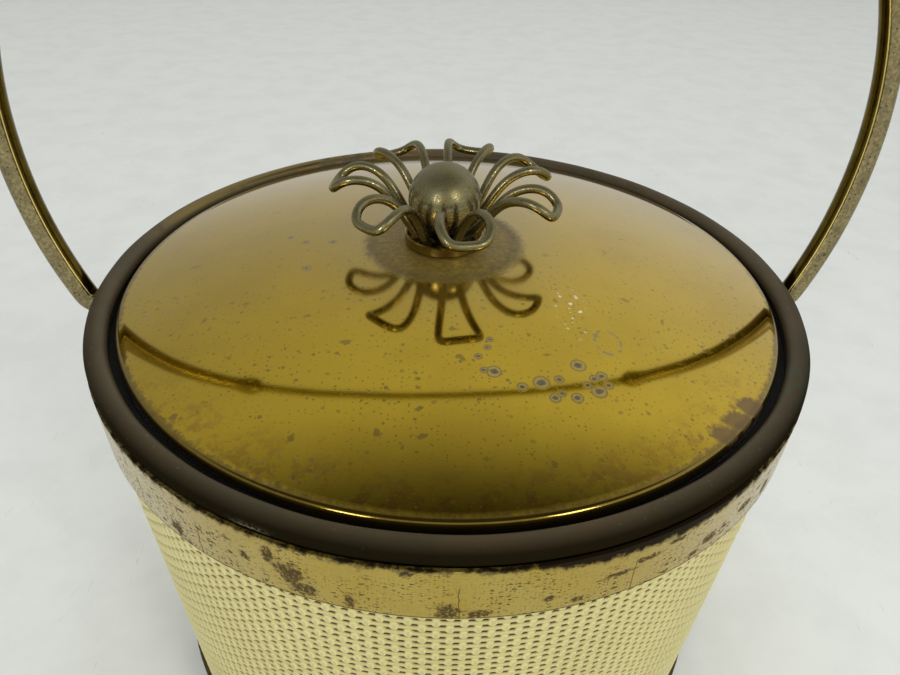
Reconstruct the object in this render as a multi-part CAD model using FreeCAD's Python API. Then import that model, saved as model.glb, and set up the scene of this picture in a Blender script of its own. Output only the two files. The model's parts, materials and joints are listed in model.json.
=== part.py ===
import FreeCAD, Part
import math
import os

# Lidded champagne bucket with a hoop handle and a wire flower knob.
# Millimetres. +Z up, origin on the floor under the bucket's axis, handle pivots on the X axis.

# Bucket outline
RIM_HEIGHT = 156.0            # centre of the rolled rim bead above the floor
BEAD_RING_RADIUS = 97.25      # bucket axis to the bead's centre
BEAD_RADIUS = 2.75            # outside of the rolled bead
BEAD_WALL = 0.8
WALL_SLOPE = 0.03             # the wall leans in by this much per millimetre down
WRAP_RADIUS = 98.6            # outside of the woven wrap just under the top band
WRAP_THICKNESS = 1.0
SHELL_THICKNESS = 0.7
SKIN_GAP = 0.02               # slip between nested sheets
EASY_FIT = 0.05               # round a plate's edge and a screw's shank
SLOT_ROOM = 0.15              # each side of the can's edge in a rolled bead
FOAM_GAP = 0.1

# Top band
BAND_BOTTOM = 138.3
BAND_TOP = 153.6
BAND_RADIUS_TOP = 100.2
BAND_RADIUS_BOTTOM = 100.1
BAND_THICKNESS = 0.8
HEM_HEIGHT = 1.2

# Base
FOOT_INNER_RADIUS = 83.0      # the rubber ring reaches a little lower than the base bead
FOOT_OUTER_RADIUS = 89.0
FOOT_CHAMFER = 0.5
BASE_BEAD_HEIGHT = 4.4        # centre of the rolled base bead
BASE_BEAD_RING_RADIUS = 93.4
BASE_BAND_BOTTOM = 6.8
BASE_BAND_TOP = 28.0
BASE_BAND_PROUD = 1.5         # the base band stands out from the wrap by this much
SHELL_BOTTOM = 5.0
BASE_PLATE_BOTTOM = 8.0       # recessed into the can above the base bead
BASE_PLATE_THICKNESS = 1.0

# Inner well
LINER_RADIUS_TOP = 89.2       # inside of the well at the mouth
LINER_RADIUS_BOTTOM = 87.4
LINER_THICKNESS = 0.8
LINER_FLOOR = 15.0            # underside of the well's floor
LINER_CORNER = 9.0
LINER_FLANGE_RADIUS = 92.4
LINER_FLANGE_TOP = 153.2
COLLAR_BOTTOM = 151.2
COLLAR_OUTER_RADIUS = 97.2
COLLAR_STEP_RADIUS = 95.0
COLLAR_STEP_TOP = 153.1

# Lid
LID_RADIUS = 92.5
LID_EDGE_HEIGHT = 157.3       # where the dome meets its turned-down lip
LID_APEX_HEIGHT = 168.5
LID_THICKNESS = 0.8
LID_LIP_BOTTOM = 154.4
LID_LIP_CORNER = 1.3
GASKET_INNER_RADIUS = 90.4
GASKET_OUTER_RADIUS = 92.2
PAN_RADIUS = 88.7
PAN_THICKNESS = 0.6
PAN_BOTTOM = 146.5
PAN_FLANGE_RADIUS = 91.6
PAN_FLANGE_TOP = 155.05

# Knob, mounted a little to the left of the lid's middle
KNOB_OFFSET = -2.0
CUP_RADIUS = 11.2
CUP_WALL = 0.8
CUP_HEIGHT = 3.1
HUB_RADIUS = 6.3
BALL_RADIUS = 10.1
BALL_HEIGHT = 181.3           # ball centre above the floor
SCREW_RADIUS = 2.0
SCREW_TOP = 177.5
SCREW_HEAD_RADIUS = 3.6
SCREW_HEAD_HEIGHT = 2.5
WASHER_RADIUS = 8.0
WASHER_THICKNESS = 1.0
WIRE_RADIUS = 1.25

# Petal side view: distance from the axis, height above the dome, half width of the loop
PETAL_STATIONS = [
    (6.4, 2.07, 1.28),
    (8.4, 3.25, 1.38),
    (10.9, 6.7, 1.8),
    (14.3, 12.2, 2.7),
    (18.8, 17.0, 4.1),
    (23.6, 18.6, 5.3),
    (28.0, 17.6, 5.6),
    (30.8, 15.4, 4.1),
    (31.4, 14.7, 0.0),
]

# One hand-bent petal each: direction round the knob in degrees, then width, rise and length factors
PETALS = {
    "petal_1": (119.5, 1.08, 1.02, 1.0),
    "petal_2": (71.5, 1.10, 1.04, 1.0),
    "petal_3": (23.5, 0.96, 1.03, 1.0),
    "petal_4": (-23.5, 0.90, 0.97, 1.0),
    "petal_5": (-82.0, 1.10, 0.98, 0.98),
    "petal_6": (-135.0, 0.98, 0.97, 0.92),
    "petal_7": (170.5, 0.94, 1.00, 0.98),
}

# Handle: a hoop drawn upright, round below its widest point and a little flatter above it, then leaned back
PIVOT_HEIGHT = 148.0
HANDLE_LEAN = 8.0             # degrees back from upright
HOOP_HALF_WIDTH = 118.5       # axis to the tube's centre at the widest point
HOOP_CENTRE_HEIGHT = 200.5
HOOP_RISE = 109.0             # widest point to the top of the grip's centre
ARM_RADIUS = 3.4
ARM_BORE = 2.5
ROOT_BEND = 4.5
ARM_END = 101.0               # inner end of each arm, measured from the axis
SHOULDER_START = 27.0         # degrees round the hoop's upper part
SHOULDER_END = 37.0
GRIP_RADIUS = 2.2

# Shoulder outline: share of its length, radius
SHOULDER_STATIONS = [(0.0, 3.4), (0.2, 3.8), (0.45, 4.7), (0.62, 5.0), (0.76, 4.3), (0.88, 2.9), (1.0, 2.2)]

# Pivots
PIN_RADIUS = 1.6
PIN_INNER_END = 93.6
PIN_PLUG_END = 103.1
BUSH_RADIUS = 2.6
BUSH_BORE = 1.65
BUSH_FLANGE_RADIUS = 3.6
BUSH_FLANGE_FACE = 100.95
BUSH_FLANGE_BACK = 100.2
BUSH_INNER_END = 95.0
WALL_HOLE = 2.62
WALL_HOLE_START = 90.0        # the holes through the wall run between these distances from the axis
WALL_HOLE_END = 105.0
CLIP_RADIUS = 3.0
CLIP_INNER_FACE = 94.0
CLIP_THICKNESS = 0.8
POCKET_RADIUS = 3.8
POCKET_INNER_END = 92.4

UP = FreeCAD.Vector(0, 0, 1)
ORIGIN = FreeCAD.Vector(0, 0, 0)


def wrap_radius(height):
    """Outside of the woven wrap at a height above the floor."""
    return WRAP_RADIUS - WALL_SLOPE * (BAND_BOTTOM - height)


def shell_radius(height):
    """Outside of the steel can at a height above the floor."""
    return wrap_radius(height) - WRAP_THICKNESS - SKIN_GAP


def shell_inside(height):
    return shell_radius(height) - SHELL_THICKNESS


def point(radius, height):
    return FreeCAD.Vector(radius, 0, height)


def turned(edges):
    """Solid of revolution about the bucket's axis from a closed list of edges."""
    face = Part.Face(Part.Wire(edges))
    return face.revolve(ORIGIN, UP, 360)


def turned_outline(outline):
    """Solid of revolution from (radius, height) corners."""
    corners = [point(radius, height) for radius, height in outline]
    corners.append(corners[0])
    return turned(Part.makePolygon(corners).Edges)


def cross_hole(radius, start, end, side):
    """Cylinder on a handle pivot; start and end are distances from the axis, side is -1 or 1."""
    base = FreeCAD.Vector(side * start, 0, PIVOT_HEIGHT)
    return Part.makeCylinder(radius, end - start, base, FreeCAD.Vector(side, 0, 0))


def with_pivot_holes(shape, radius, start=WALL_HOLE_START):
    for side in (-1, 1):
        shape = shape.cut(cross_hole(radius, start, WALL_HOLE_END, side))
    return shape


# ---------------------------------------------------------------- bucket

def outer_shell():
    top = RIM_HEIGHT - 1.0
    wall = turned_outline([
        (shell_inside(SHELL_BOTTOM), SHELL_BOTTOM),
        (shell_radius(SHELL_BOTTOM), SHELL_BOTTOM),
        (shell_radius(top), top),
        (shell_inside(top), top),
    ])
    return with_pivot_holes(wall, WALL_HOLE)


def weave_wrap():
    bottom = BASE_BAND_TOP - 2.5
    top = BAND_BOTTOM + 2.5
    return turned_outline([
        (wrap_radius(bottom) - WRAP_THICKNESS, bottom),
        (wrap_radius(bottom), bottom),
        (wrap_radius(top), top),
        (wrap_radius(top) - WRAP_THICKNESS, top),
    ])


def top_band():
    hem_top = BAND_BOTTOM + HEM_HEIGHT
    band = turned_outline([
        (wrap_radius(BAND_BOTTOM) + SKIN_GAP, BAND_BOTTOM),
        (BAND_RADIUS_BOTTOM, BAND_BOTTOM),
        (BAND_RADIUS_TOP, BAND_TOP),
        (BAND_RADIUS_TOP - BAND_THICKNESS, BAND_TOP),
        (BAND_RADIUS_BOTTOM - BAND_THICKNESS, hem_top),
        (wrap_radius(hem_top) + SKIN_GAP, hem_top),
    ])
    return with_pivot_holes(band, WALL_HOLE)


def rolled_bead(ring_radius, height, mouth):
    """Hollow bead round a turned edge of the can; mouth is 1 where the edge comes from above, -1 from below."""
    centre = FreeCAD.Vector(0, 0, height)
    bead = Part.makeTorus(ring_radius, BEAD_RADIUS, centre, UP)
    hollow = Part.makeTorus(ring_radius, BEAD_RADIUS - BEAD_WALL, centre, UP)
    slot_inner = shell_inside(height) - SLOT_ROOM
    slot_outer = shell_radius(height) + SLOT_ROOM
    slot_end = height + mouth * 2 * BEAD_RADIUS
    slot = turned_outline([
        (slot_inner, slot_end),
        (slot_outer, slot_end),
        (slot_outer, height),
        (slot_inner, height),
    ])
    return bead.cut(hollow).cut(slot)


def rim_bead():
    return rolled_bead(BEAD_RING_RADIUS, RIM_HEIGHT, -1)


def liner_outside(height):
    """Outside radius of the well's wall at a height."""
    share = (height - LINER_FLOOR) / (LINER_FLANGE_TOP - LINER_FLOOR)
    inside = LINER_RADIUS_BOTTOM + share * (LINER_RADIUS_TOP - LINER_RADIUS_BOTTOM)
    return inside + LINER_THICKNESS


def liner_corner(radius, floor, corner):
    """Quarter round between the well's floor and its wall."""
    lean = corner * (1 - math.sqrt(0.5))
    start = point(radius - corner, floor)
    middle = point(radius - lean, floor + lean)
    end = point(radius, floor + corner)
    return Part.Arc(start, middle, end).toShape()


def inner_liner():
    flange_bottom = LINER_FLANGE_TOP - LINER_THICKNESS
    out_low = liner_outside(LINER_FLOOR + LINER_CORNER)
    in_low = out_low - LINER_THICKNESS
    inner_floor = LINER_FLOOR + LINER_THICKNESS
    outer_corner = liner_corner(out_low, LINER_FLOOR, LINER_CORNER)
    inner_corner = liner_corner(in_low, inner_floor, LINER_CORNER - LINER_THICKNESS)
    outside_top = point(liner_outside(flange_bottom), flange_bottom)
    rim_points = [
        outer_corner.Vertexes[-1].Point,
        outside_top,
        point(LINER_FLANGE_RADIUS, flange_bottom),
        point(LINER_FLANGE_RADIUS, LINER_FLANGE_TOP),
        point(LINER_RADIUS_TOP, LINER_FLANGE_TOP),
        inner_corner.Vertexes[-1].Point,
    ]
    edges = [Part.makeLine(point(0, LINER_FLOOR), outer_corner.Vertexes[0].Point), outer_corner]
    edges += Part.makePolygon(rim_points).Edges
    edges += [
        inner_corner,
        Part.makeLine(inner_corner.Vertexes[0].Point, point(0, inner_floor)),
        Part.makeLine(point(0, inner_floor), point(0, LINER_FLOOR)),
    ]
    return turned(edges)


def liner_collar():
    web_top = LINER_FLANGE_TOP - LINER_THICKNESS - SKIN_GAP
    bore = liner_outside(LINER_FLANGE_TOP) + SKIN_GAP
    return turned_outline([
        (bore, COLLAR_BOTTOM),
        (COLLAR_OUTER_RADIUS, COLLAR_BOTTOM),
        (COLLAR_OUTER_RADIUS, COLLAR_STEP_TOP),
        (COLLAR_STEP_RADIUS, COLLAR_STEP_TOP),
        (COLLAR_STEP_RADIUS, web_top),
        (bore, web_top),
    ])


def insulation_foam():
    gap = FOAM_GAP
    bottom = BASE_PLATE_BOTTOM + BASE_PLATE_THICKNESS + 4 * gap
    top = COLLAR_BOTTOM - gap
    corner_height = LINER_FLOOR + LINER_CORNER
    floor_top = LINER_FLOOR - gap
    foam = turned_outline([
        (0, bottom),
        (shell_inside(bottom) - gap, bottom),
        (shell_inside(top) - gap, top),
        (liner_outside(top) + gap, top),
        (liner_outside(corner_height) + gap, corner_height),
        (liner_outside(corner_height) - LINER_CORNER + 4 * gap, floor_top),
        (0, floor_top),
    ])
    corner_room = Part.makeTorus(
        liner_outside(corner_height) - LINER_CORNER,
        LINER_CORNER + gap,
        FreeCAD.Vector(0, 0, corner_height),
        UP,
    )
    foam = foam.cut(corner_room)
    return with_pivot_holes(foam, POCKET_RADIUS, POCKET_INNER_END)


def base_plate():
    radius = shell_inside(BASE_PLATE_BOTTOM) - EASY_FIT
    return Part.makeCylinder(radius, BASE_PLATE_THICKNESS, FreeCAD.Vector(0, 0, BASE_PLATE_BOTTOM), UP)


def base_bead():
    return rolled_bead(BASE_BEAD_RING_RADIUS, BASE_BEAD_HEIGHT, 1)


def base_band():
    hem_bottom = BASE_BAND_TOP - HEM_HEIGHT
    top_radius = wrap_radius(BASE_BAND_TOP) + BASE_BAND_PROUD
    bottom_radius = wrap_radius(BASE_BAND_BOTTOM) + BASE_BAND_PROUD
    hem_radius = wrap_radius(hem_bottom) + BASE_BAND_PROUD
    return turned_outline([
        (bottom_radius - BAND_THICKNESS, BASE_BAND_BOTTOM),
        (bottom_radius, BASE_BAND_BOTTOM),
        (top_radius, BASE_BAND_TOP),
        (wrap_radius(BASE_BAND_TOP) + SKIN_GAP, BASE_BAND_TOP),
        (wrap_radius(hem_bottom) + SKIN_GAP, hem_bottom),
        (hem_radius - BAND_THICKNESS, hem_bottom),
    ])


def foot_ring():
    top = BASE_PLATE_BOTTOM - SKIN_GAP
    return turned_outline([
        (FOOT_INNER_RADIUS + FOOT_CHAMFER, 0),
        (FOOT_OUTER_RADIUS - FOOT_CHAMFER, 0),
        (FOOT_OUTER_RADIUS, FOOT_CHAMFER),
        (FOOT_OUTER_RADIUS, top),
        (FOOT_INNER_RADIUS, top),
        (FOOT_INNER_RADIUS, FOOT_CHAMFER),
    ])


def pivot_bush(side):
    shank = cross_hole(BUSH_RADIUS, BUSH_INNER_END, BUSH_FLANGE_FACE, side)
    flange = cross_hole(BUSH_FLANGE_RADIUS, BUSH_FLANGE_BACK, BUSH_FLANGE_FACE, side)
    bore = cross_hole(BUSH_BORE, BUSH_INNER_END - 1, BUSH_FLANGE_FACE + 1, side)
    return shank.fuse(flange).cut(bore).removeSplitter()


# ---------------------------------------------------------------- handle

def pivot_pin(side):
    shank = cross_hole(PIN_RADIUS, PIN_INNER_END, PIN_PLUG_END, side)
    plug = cross_hole(ARM_BORE - SKIN_GAP, ARM_END + 0.1, PIN_PLUG_END, side)
    return shank.fuse(plug).removeSplitter()


def pivot_clip(side):
    outer_face = CLIP_INNER_FACE + CLIP_THICKNESS
    disc = cross_hole(CLIP_RADIUS, CLIP_INNER_FACE, outer_face, side)
    bore = cross_hole(PIN_RADIUS + 0.01, CLIP_INNER_FACE - 1, outer_face + 1, side)
    return disc.cut(bore)


def hoop_point(angle, side=1):
    """Centre of the hoop's upper part; angle in degrees up from its widest point."""
    turn = math.radians(angle)
    return FreeCAD.Vector(
        side * HOOP_HALF_WIDTH * math.cos(turn),
        0,
        HOOP_CENTRE_HEIGHT + HOOP_RISE * math.sin(turn),
    )


def hoop_direction(angle, side=1):
    turn = math.radians(angle)
    along = FreeCAD.Vector(-side * HOOP_HALF_WIDTH * math.sin(turn), 0, HOOP_RISE * math.cos(turn))
    return along.normalize()


def upper_arc(start, end, side=1):
    """Edge along the hoop's upper part between two angles."""
    steps = 12
    points = [hoop_point(start + (end - start) * step / steps, side) for step in range(steps + 1)]
    curve = Part.BSplineCurve()
    curve.interpolate(
        points,
        InitialTangent=hoop_direction(start, side),
        FinalTangent=hoop_direction(end, side),
    )
    return curve.toShape()


def arm_path(side):
    """Straight root, tight bend, round lower part, then the upper part up to the shoulder."""
    drop = HOOP_CENTRE_HEIGHT - PIVOT_HEIGHT - ROOT_BEND
    bend_x = math.sqrt((HOOP_HALF_WIDTH - ROOT_BEND) ** 2 - drop ** 2)
    outward = HOOP_HALF_WIDTH / (HOOP_HALF_WIDTH - ROOT_BEND)
    bend_angle = math.atan2(-drop, bend_x)
    middle_angle = (bend_angle - math.pi / 2) / 2
    bend_centre_height = PIVOT_HEIGHT + ROOT_BEND
    root_start = FreeCAD.Vector(side * ARM_END, 0, PIVOT_HEIGHT)
    bend_start = FreeCAD.Vector(side * bend_x, 0, PIVOT_HEIGHT)
    bend_middle = FreeCAD.Vector(
        side * (bend_x + ROOT_BEND * math.cos(middle_angle)),
        0,
        bend_centre_height + ROOT_BEND * math.sin(middle_angle),
    )
    bend_end = FreeCAD.Vector(side * bend_x * outward, 0, HOOP_CENTRE_HEIGHT - drop * outward)
    low_middle = FreeCAD.Vector(
        side * HOOP_HALF_WIDTH * math.cos(bend_angle / 2),
        0,
        HOOP_CENTRE_HEIGHT + HOOP_HALF_WIDTH * math.sin(bend_angle / 2),
    )
    return Part.Wire([
        Part.makeLine(root_start, bend_start),
        Part.Arc(bend_start, bend_middle, bend_end).toShape(),
        Part.Arc(bend_end, low_middle, hoop_point(0, side)).toShape(),
        upper_arc(0, SHOULDER_START, side),
    ])


def leaned(shape):
    """Leans a handle part back about the pivots."""
    shape.rotate(FreeCAD.Vector(0, 0, PIVOT_HEIGHT), FreeCAD.Vector(1, 0, 0), -HANDLE_LEAN)
    return shape


def swept_rod(path, radius, start, direction, follow_twist=False):
    profile = Part.Wire(Part.makeCircle(radius, start, direction))
    return path.makePipeShell([profile], True, follow_twist)


def handle_arm(side):
    path = arm_path(side)
    start = FreeCAD.Vector(side * ARM_END, 0, PIVOT_HEIGHT)
    outward = FreeCAD.Vector(side, 0, 0)
    tube = swept_rod(path, ARM_RADIUS, start, outward)
    bore = swept_rod(path, ARM_BORE, start, outward)
    return leaned(tube.cut(bore))


def handle_shoulder(side):
    """Flared ferrule between the arm and the thin grip."""
    sections = []
    for share, radius in SHOULDER_STATIONS:
        angle = SHOULDER_START + share * (SHOULDER_END - SHOULDER_START)
        circle = Part.makeCircle(radius, hoop_point(angle, side), hoop_direction(angle, side))
        sections.append(Part.Wire(circle))
    return leaned(Part.makeLoft(sections, True, False))


def handle_grip():
    half = upper_arc(SHOULDER_END, 180 - SHOULDER_END)
    rod = swept_rod(
        Part.Wire(half),
        GRIP_RADIUS,
        hoop_point(SHOULDER_END),
        hoop_direction(SHOULDER_END),
    )
    return leaned(rod)


# ---------------------------------------------------------------- lid

def dome_sphere_radius():
    rise = LID_APEX_HEIGHT - LID_EDGE_HEIGHT
    return (LID_RADIUS ** 2 + rise ** 2) / (2 * rise)


def dome_height(radius, below=0.0):
    """Height of the dome's outside, or of a surface a given depth below it."""
    sphere = dome_sphere_radius()
    centre = LID_APEX_HEIGHT - sphere
    return centre + math.sqrt((sphere - below) ** 2 - radius ** 2)


def dome_arc(start, end, below):
    middle = (start + end) / 2
    return Part.Arc(
        point(start, dome_height(start, below)),
        point(middle, dome_height(middle, below)),
        point(end, dome_height(end, below)),
    ).toShape()


def lip_corner(lip_radius, below):
    """Rounded turn from the dome into the lip, ending in a vertical lip."""
    corner = LID_LIP_CORNER - below
    start_radius = lip_radius - corner
    start_height = dome_height(start_radius, below)
    lean = corner * (1 - math.sqrt(0.5))
    return Part.Arc(
        point(start_radius, start_height),
        point(lip_radius - lean, start_height - lean),
        point(lip_radius, start_height - corner),
    ).toShape()


def knob_place(height):
    return FreeCAD.Vector(KNOB_OFFSET, 0, height)


def knob_cylinder(radius, bottom, top):
    return Part.makeCylinder(radius, top - bottom, knob_place(bottom), UP)


def lid_dome():
    outer_corner = lip_corner(LID_RADIUS, 0.0)
    inner_corner = lip_corner(LID_RADIUS - LID_THICKNESS, LID_THICKNESS)
    outer_arc = dome_arc(0, LID_RADIUS - LID_LIP_CORNER, 0.0)
    inner_start = LID_RADIUS - LID_THICKNESS - (LID_LIP_CORNER - LID_THICKNESS)
    inner_arc = dome_arc(0, inner_start, LID_THICKNESS)
    lip_foot_out = point(LID_RADIUS, LID_LIP_BOTTOM)
    lip_foot_in = point(LID_RADIUS - LID_THICKNESS, LID_LIP_BOTTOM)
    dome = turned([
        outer_arc,
        outer_corner,
        Part.makeLine(outer_corner.Vertexes[-1].Point, lip_foot_out),
        Part.makeLine(lip_foot_out, lip_foot_in),
        Part.makeLine(lip_foot_in, inner_corner.Vertexes[-1].Point),
        inner_corner,
        inner_arc,
        Part.makeLine(inner_arc.Vertexes[0].Point, outer_arc.Vertexes[0].Point),
    ])
    return dome.cut(knob_cylinder(SCREW_RADIUS + EASY_FIT, LID_EDGE_HEIGHT, LID_APEX_HEIGHT + 1))


def lid_gasket():
    return turned_outline([
        (GASKET_INNER_RADIUS, LINER_FLANGE_TOP + SKIN_GAP),
        (GASKET_OUTER_RADIUS, LINER_FLANGE_TOP + SKIN_GAP),
        (GASKET_OUTER_RADIUS, LID_LIP_BOTTOM - SKIN_GAP),
        (GASKET_INNER_RADIUS, LID_LIP_BOTTOM - SKIN_GAP),
    ])


def lid_pan():
    flange_bottom = PAN_FLANGE_TOP - PAN_THICKNESS
    inside = PAN_RADIUS - PAN_THICKNESS
    return turned_outline([
        (0, PAN_BOTTOM),
        (PAN_RADIUS - 1.5, PAN_BOTTOM),
        (PAN_RADIUS, PAN_BOTTOM + 1.5),
        (PAN_RADIUS, flange_bottom),
        (PAN_FLANGE_RADIUS, flange_bottom),
        (PAN_FLANGE_RADIUS, PAN_FLANGE_TOP),
        (inside, PAN_FLANGE_TOP),
        (inside, PAN_BOTTOM + 1.5),
        (PAN_RADIUS - 1.5, PAN_BOTTOM + PAN_THICKNESS),
        (0, PAN_BOTTOM + PAN_THICKNESS),
    ])


def lid_foam():
    gap = FOAM_GAP
    below = LID_THICKNESS + gap
    bottom = PAN_BOTTOM + PAN_THICKNESS + gap
    edge = PAN_RADIUS - 2.3
    top_arc = dome_arc(0, edge, below)
    foam = turned([
        top_arc,
        Part.makeLine(top_arc.Vertexes[-1].Point, point(edge, bottom)),
        Part.makeLine(point(edge, bottom), point(0, bottom)),
        Part.makeLine(point(0, bottom), top_arc.Vertexes[0].Point),
    ])
    return foam.cut(knob_cylinder(WASHER_RADIUS + 1.0, bottom - 1, LID_APEX_HEIGHT + 1))


def washer_top():
    return dome_height(WASHER_RADIUS - KNOB_OFFSET, LID_THICKNESS) - SKIN_GAP


def knob_washer():
    bottom = washer_top() - WASHER_THICKNESS
    disc = knob_cylinder(WASHER_RADIUS, bottom, washer_top())
    return disc.cut(knob_cylinder(SCREW_RADIUS + EASY_FIT, bottom - 1, washer_top() + 1))


def knob_screw():
    head_top = washer_top() - WASHER_THICKNESS - SKIN_GAP
    head_bottom = head_top - SCREW_HEAD_HEIGHT
    head = knob_cylinder(SCREW_HEAD_RADIUS, head_bottom, head_top)
    shank = knob_cylinder(SCREW_RADIUS, head_bottom, SCREW_TOP)
    slot = Part.makeBox(2 * SCREW_HEAD_RADIUS, 1.0, 1.0)
    slot.translate(FreeCAD.Vector(KNOB_OFFSET - SCREW_HEAD_RADIUS, -0.5, head_bottom))
    return head.fuse(shank).removeSplitter().cut(slot)


def knob_cup():
    floor = LID_APEX_HEIGHT + SKIN_GAP
    top = floor + CUP_HEIGHT
    inside = CUP_RADIUS - CUP_WALL
    cup = turned_outline([
        (SCREW_RADIUS + EASY_FIT, floor),
        (CUP_RADIUS - 0.5, floor),
        (CUP_RADIUS, floor + 0.5),
        (CUP_RADIUS, top - 0.35),
        (CUP_RADIUS - 0.35, top),
        (inside, top),
        (inside, floor + CUP_WALL + 0.5),
        (inside - 0.5, floor + CUP_WALL),
        (SCREW_RADIUS + EASY_FIT, floor + CUP_WALL),
    ])
    cup.translate(knob_place(0))
    return cup


def hub_top():
    return BALL_HEIGHT - BALL_RADIUS + 0.3


def petal_hub():
    bottom = LID_APEX_HEIGHT + 2 * SKIN_GAP + CUP_WALL
    ring = knob_cylinder(HUB_RADIUS, bottom, hub_top())
    return ring.cut(knob_cylinder(SCREW_RADIUS + EASY_FIT, bottom - 1, hub_top() + 1))


def knob_ball():
    """Ball with a small flat where it sits on the hub and a blind hole for the screw."""
    flat = hub_top() + SKIN_GAP
    ball = Part.makeSphere(BALL_RADIUS, knob_place(BALL_HEIGHT))
    ball = ball.cut(knob_cylinder(BALL_RADIUS, flat - BALL_RADIUS, flat))
    return ball.cut(knob_cylinder(SCREW_RADIUS + 0.01, flat, SCREW_TOP + 0.3))


def petal(direction, width_factor, rise_factor, length_factor):
    """One loop of wire: out along one side, round the tip and back along the other."""
    first_rise = PETAL_STATIONS[0][1]
    near_side = []
    for reach, rise, half_width in PETAL_STATIONS:
        # the two ends keep their height and spacing at the hub on every petal
        grown = min(1.0, max(0.0, (reach - HUB_RADIUS) / HUB_RADIUS))
        height = first_rise + (rise - first_rise) * rise_factor
        width = half_width * (1 + (width_factor - 1) * grown)
        length = HUB_RADIUS + (reach - HUB_RADIUS) * (1 + (length_factor - 1) * grown)
        near_side.append((length, width, LID_APEX_HEIGHT + height))
    points = [FreeCAD.Vector(reach, -width, height) for reach, width, height in near_side]
    points += [FreeCAD.Vector(reach, width, height) for reach, width, height in reversed(near_side[:-1])]
    curve = Part.BSplineCurve()
    curve.interpolate(points)
    start_direction = curve.tangent(curve.FirstParameter)[0]
    path = Part.Wire(curve.toShape())
    wire = swept_rod(path, WIRE_RADIUS, points[0], start_direction, follow_twist=True)
    wire.rotate(ORIGIN, UP, direction)
    wire.translate(knob_place(0))
    return wire.cut(knob_cylinder(HUB_RADIUS + SKIN_GAP, LID_APEX_HEIGHT, BALL_HEIGHT))


# ---------------------------------------------------------------- export

def all_parts():
    parts = {
        "outer_shell": outer_shell(),
        "weave_wrap": weave_wrap(),
        "top_band": top_band(),
        "rim_bead": rim_bead(),
        "inner_liner": inner_liner(),
        "liner_collar": liner_collar(),
        "insulation_foam": insulation_foam(),
        "base_plate": base_plate(),
        "base_bead": base_bead(),
        "base_band": base_band(),
        "foot_ring": foot_ring(),
        "handle_grip": handle_grip(),
        "lid_dome": lid_dome(),
        "lid_gasket": lid_gasket(),
        "lid_pan": lid_pan(),
        "lid_foam": lid_foam(),
        "knob_washer": knob_washer(),
        "knob_screw": knob_screw(),
        "knob_cup": knob_cup(),
        "petal_hub": petal_hub(),
        "knob_ball": knob_ball(),
    }
    for name, side in (("left", -1), ("right", 1)):
        parts["pivot_bush_" + name] = pivot_bush(side)
        parts["pivot_pin_" + name] = pivot_pin(side)
        parts["pivot_clip_" + name] = pivot_clip(side)
        parts["handle_arm_" + name] = handle_arm(side)
        parts["handle_shoulder_" + name] = handle_shoulder(side)
    for name, shape_values in PETALS.items():
        parts[name] = petal(*shape_values)
    return parts


os.makedirs("parts", exist_ok=True)
for node, shape in all_parts().items():
    shape.exportStep("parts/" + node + ".step")
    print(node, "solids", len(shape.Solids), "volume", round(shape.Volume, 1), "valid", shape.isValid())
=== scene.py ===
"""Looks of the lidded champagne bucket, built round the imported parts.

Metres; +Z up, front towards -Y.
"""
import json
import math
import random

import bpy
import numpy as np
from mathutils import Matrix, Vector


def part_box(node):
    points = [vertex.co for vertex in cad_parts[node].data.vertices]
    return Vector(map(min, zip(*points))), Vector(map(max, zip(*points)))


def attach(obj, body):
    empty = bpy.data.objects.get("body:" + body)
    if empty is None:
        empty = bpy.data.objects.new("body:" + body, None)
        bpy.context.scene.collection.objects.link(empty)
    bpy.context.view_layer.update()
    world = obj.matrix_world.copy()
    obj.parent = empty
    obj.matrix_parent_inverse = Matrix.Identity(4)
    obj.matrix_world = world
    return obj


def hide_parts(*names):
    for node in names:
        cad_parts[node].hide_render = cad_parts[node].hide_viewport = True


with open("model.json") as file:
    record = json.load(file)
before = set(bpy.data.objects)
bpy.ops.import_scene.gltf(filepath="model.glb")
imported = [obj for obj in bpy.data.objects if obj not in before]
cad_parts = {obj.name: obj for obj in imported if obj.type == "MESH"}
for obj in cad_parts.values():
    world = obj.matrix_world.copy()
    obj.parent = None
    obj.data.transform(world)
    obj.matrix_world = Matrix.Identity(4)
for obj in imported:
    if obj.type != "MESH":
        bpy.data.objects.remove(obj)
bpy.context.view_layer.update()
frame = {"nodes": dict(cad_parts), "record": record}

MM = 0.001

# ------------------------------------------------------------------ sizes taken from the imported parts
rim_low, rim_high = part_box("rim_bead")
band_low, band_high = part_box("top_band")
base_band_low, base_band_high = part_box("base_band")
lid_low, lid_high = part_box("lid_dome")
ball_low, ball_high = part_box("knob_ball")

BEAD_RADIUS = (rim_high.z - rim_low.z) / 2
RIM_HEIGHT = (rim_high.z + rim_low.z) / 2
RIM_RING_RADIUS = rim_high.x - BEAD_RADIUS
BAND_BOTTOM = band_low.z
BAND_TOP = band_high.z
BASE_BAND_BOTTOM = base_band_low.z
BASE_BAND_TOP = base_band_high.z
LID_RADIUS = lid_high.x
LID_APEX = lid_high.z
LID_EDGE_DROP = 11.2 * MM         # apex down to where the dome meets its lip
LID_LIP_BOTTOM = lid_low.z
LID_THICKNESS = 0.8 * MM
KNOB_X = (ball_low.x + ball_high.x) / 2
BALL_RADIUS = (ball_high.x - ball_low.x) / 2
BALL_HEIGHT = ball_high.z - BALL_RADIUS

WALL_SLOPE = 0.03
WRAP_RADIUS = 98.6 * MM           # the wrap's nominal face at the top band's lower edge

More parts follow.
